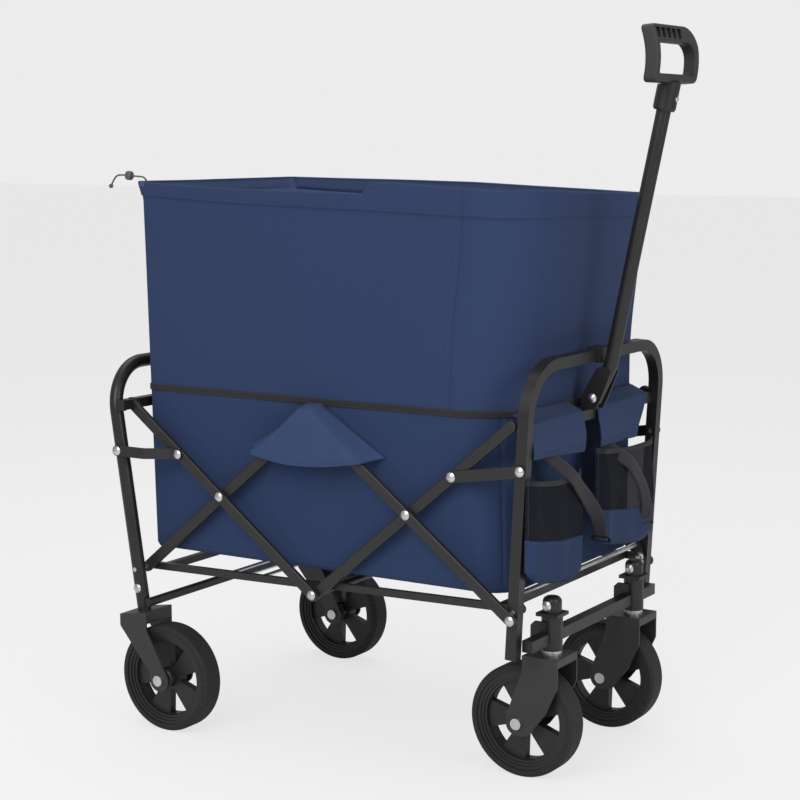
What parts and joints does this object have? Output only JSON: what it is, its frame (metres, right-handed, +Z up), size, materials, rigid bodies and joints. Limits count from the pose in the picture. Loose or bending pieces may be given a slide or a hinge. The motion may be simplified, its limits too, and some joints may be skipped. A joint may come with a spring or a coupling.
{
  "type": "folding beach cart",
  "caption": "Folding beach cart with a deep fabric bag on a scissor frame, large spoked wheels, swivelling casters, front pockets and a pull handle.",
  "frame": {"origin": "on the floor under the middle of the outline", "axes": "+X towards the pull handle, +Y to the far side, +Z up"},
  "size_m": [1.0393, 0.662, 1.2837],
  "materials": {
    "frame_black": "satin",
    "zinc": "satin",
    "wheel_grey": "matte",
    "tread": "matte",
    "grip_grey": "matte",
    "navy_fabric": "matte",
    "webbing": "matte",
    "cord_grey": "matte",
    "plastic_black": "matte"
  },
  "bodies": {
    "rear_frame": {"rear_arch": "frame_black", "rear_crossbar_lower": "frame_black", "rear_fork_near": "frame_black", "rear_fork_far": "frame_black", "rear_bolts": "zinc", "rear_rivets": "zinc", "bag": "navy_fabric", "side_flaps": "navy_fabric", "drawcord": "webbing", "cord_toggle": "cord_grey"},
    "rear_low_bars": {"bar_rear_low_near": "frame_black", "bar_rear_low_far": "frame_black", "rivets_rear_low": "zinc"},
    "rear_high_bars": {"bar_rear_high_near": "frame_black", "bar_rear_high_far": "frame_black", "rear_crossbar_upper": "frame_black", "rear_crossbar_caps": "plastic_black"},
    "front_high_bars": {"bar_front_high_near": "frame_black", "bar_front_high_far": "frame_black", "centre_tube": "frame_black", "rivets_front_high": "zinc"},
    "front_low_bars": {"bar_front_low_near": "frame_black", "bar_front_low_far": "frame_black", "rivets_front_low": "zinc"},
    "rear_link_pair": {"rear_links": "frame_black", "rear_link_rivets": "zinc"},
    "front_link_pair": {"front_links": "frame_black", "front_link_rivets": "zinc"},
    "front_frame": {"front_arch": "frame_black", "front_crossbar_lower": "frame_black", "front_crossbar_upper": "frame_black", "caster_housing_near": "frame_black", "caster_housing_far": "frame_black", "housing_caps": "plastic_black", "front_rivets": "zinc", "handle_bracket": "frame_black", "handle_clip": "plastic_black", "pocket_near": "navy_fabric", "pocket_far": "navy_fabric", "pocket_flaps": "navy_fabric", "pocket_straps": "webbing"},
    "floor_rear": {"floor_rear_frame": "frame_black", "floor_slats": "frame_black"},
    "floor_front": {"floor_front_frame": "frame_black", "front_rod": "frame_black"},
    "handle": {"handle_tube": "frame_black", "handle_socket": "grip_grey", "handle_grip": "grip_grey"},
    "caster_near": {"caster_fork_near": "frame_black", "caster_stem_near": "zinc"},
    "wheel_rear_near": {"rim_rear_near": "wheel_grey", "tyre_rear_near": "tread"},
    "wheel_front_near": {"rim_front_near": "wheel_grey", "tyre_front_near": "tread"},
    "caster_far": {"caster_fork_far": "frame_black", "caster_stem_far": "zinc"},
    "wheel_rear_far": {"rim_rear_far": "wheel_grey", "tyre_rear_far": "tread"},
    "wheel_front_far": {"rim_front_far": "wheel_grey", "tyre_front_far": "tread"}
  },
  "joints": [
    {"name": "fold", "type": "hinge", "parent": "rear_frame", "child": "rear_low_bars", "pos_m": [-0.43947, 0, 0.29708], "axis": [0, -1, 0], "range_deg": [0, 41.16], "deforming": ["bag", "side_flaps"]},
    {"name": "rear_cross_turn", "type": "hinge", "parent": "rear_low_bars", "child": "rear_high_bars", "pos_m": [-0.26024, 0, 0.44908], "axis": [0, -1, 0], "range_deg": [-73.21, 0]},
    {"name": "centre_turn", "type": "hinge", "parent": "rear_high_bars", "child": "front_high_bars", "pos_m": [-0.0569, 0, 0.29191], "axis": [0, -1, 0], "range_deg": [0, 73.21]},
    {"name": "front_cross_turn", "type": "hinge", "parent": "front_high_bars", "child": "front_low_bars", "pos_m": [0.13911, 0, 0.45814], "axis": [0, -1, 0], "range_deg": [-73.21, 0]},
    {"name": "front_leg_turn", "type": "hinge", "parent": "front_low_bars", "child": "front_frame", "pos_m": [0.34352, 0, 0.30015], "axis": [0, -1, 0], "range_deg": [0, 32.05]},
    {"name": "rear_link_turn", "type": "hinge", "parent": "rear_frame", "child": "rear_link_pair", "pos_m": [-0.47396, 0, 0.51992], "axis": [0, -1, 0], "range_deg": [0, 76.09]},
    {"name": "front_link_turn", "type": "hinge", "parent": "front_frame", "child": "front_link_pair", "pos_m": [0.35631, 0, 0.55266], "axis": [0, -1, 0], "range_deg": [-59.24, 0]},
    {"name": "floor_rear_turn", "type": "hinge", "parent": "rear_frame", "child": "floor_rear", "pos_m": [-0.43947, 0, 0.29708], "axis": [0, -1, 0], "range_deg": [0, 73.67]},
    {"name": "floor_front_turn", "type": "hinge", "parent": "front_frame", "child": "floor_front", "pos_m": [0.34418, 0, 0.31314], "axis": [0, -1, 0], "range_deg": [-68.73, 0]},
    {"name": "rear_wheel_spin_near", "type": "hinge", "parent": "rear_frame", "child": "wheel_rear_near", "pos_m": [-0.36703, -0.288, 0.1], "axis": [0, 1, 0], "continuous": true},
    {"name": "caster_swivel_near", "type": "hinge", "parent": "front_frame", "child": "caster_near", "pos_m": [0.36597, -0.164, 0.222], "axis": [0, 0, 1], "continuous": true},
    {"name": "front_wheel_spin_near", "type": "hinge", "parent": "caster_near", "child": "wheel_front_near", "pos_m": [0.31897, -0.164, 0.1], "axis": [0, 1, 0], "continuous": true},
    {"name": "rear_wheel_spin_far", "type": "hinge", "parent": "rear_frame", "child": "wheel_rear_far", "pos_m": [-0.36703, 0.288, 0.1], "axis": [0, 1, 0], "continuous": true},
    {"name": "caster_swivel_far", "type": "hinge", "parent": "front_frame", "child": "caster_far", "pos_m": [0.36597, 0.164, 0.222], "axis": [0, 0, 1], "continuous": true},
    {"name": "front_wheel_spin_far", "type": "hinge", "parent": "caster_far", "child": "wheel_front_far", "pos_m": [0.31897, 0.164, 0.1], "axis": [0, 1, 0], "continuous": true},
    {"name": "handle_fold", "type": "hinge", "parent": "front_frame", "child": "handle", "pos_m": [0.36247, 0, 0.646], "axis": [0, 1, 0], "range_deg": [0, 110]}
  ],
  "couplings": [
    {"joint": "rear_cross_turn", "follows": "fold", "ratio": -1.7785},
    {"joint": "centre_turn", "follows": "fold", "ratio": 1.7785},
    {"joint": "front_cross_turn", "follows": "fold", "ratio": -1.7785},
    {"joint": "front_leg_turn", "follows": "fold", "ratio": 0.77852},
    {"joint": "rear_link_turn", "follows": "fold", "ratio": 1.8485},
    {"joint": "front_link_turn", "follows": "fold", "ratio": -1.439},
    {"joint": "floor_rear_turn", "follows": "fold", "ratio": 1.7897},
    {"joint": "floor_front_turn", "follows": "fold", "ratio": -1.6698}
  ]
}
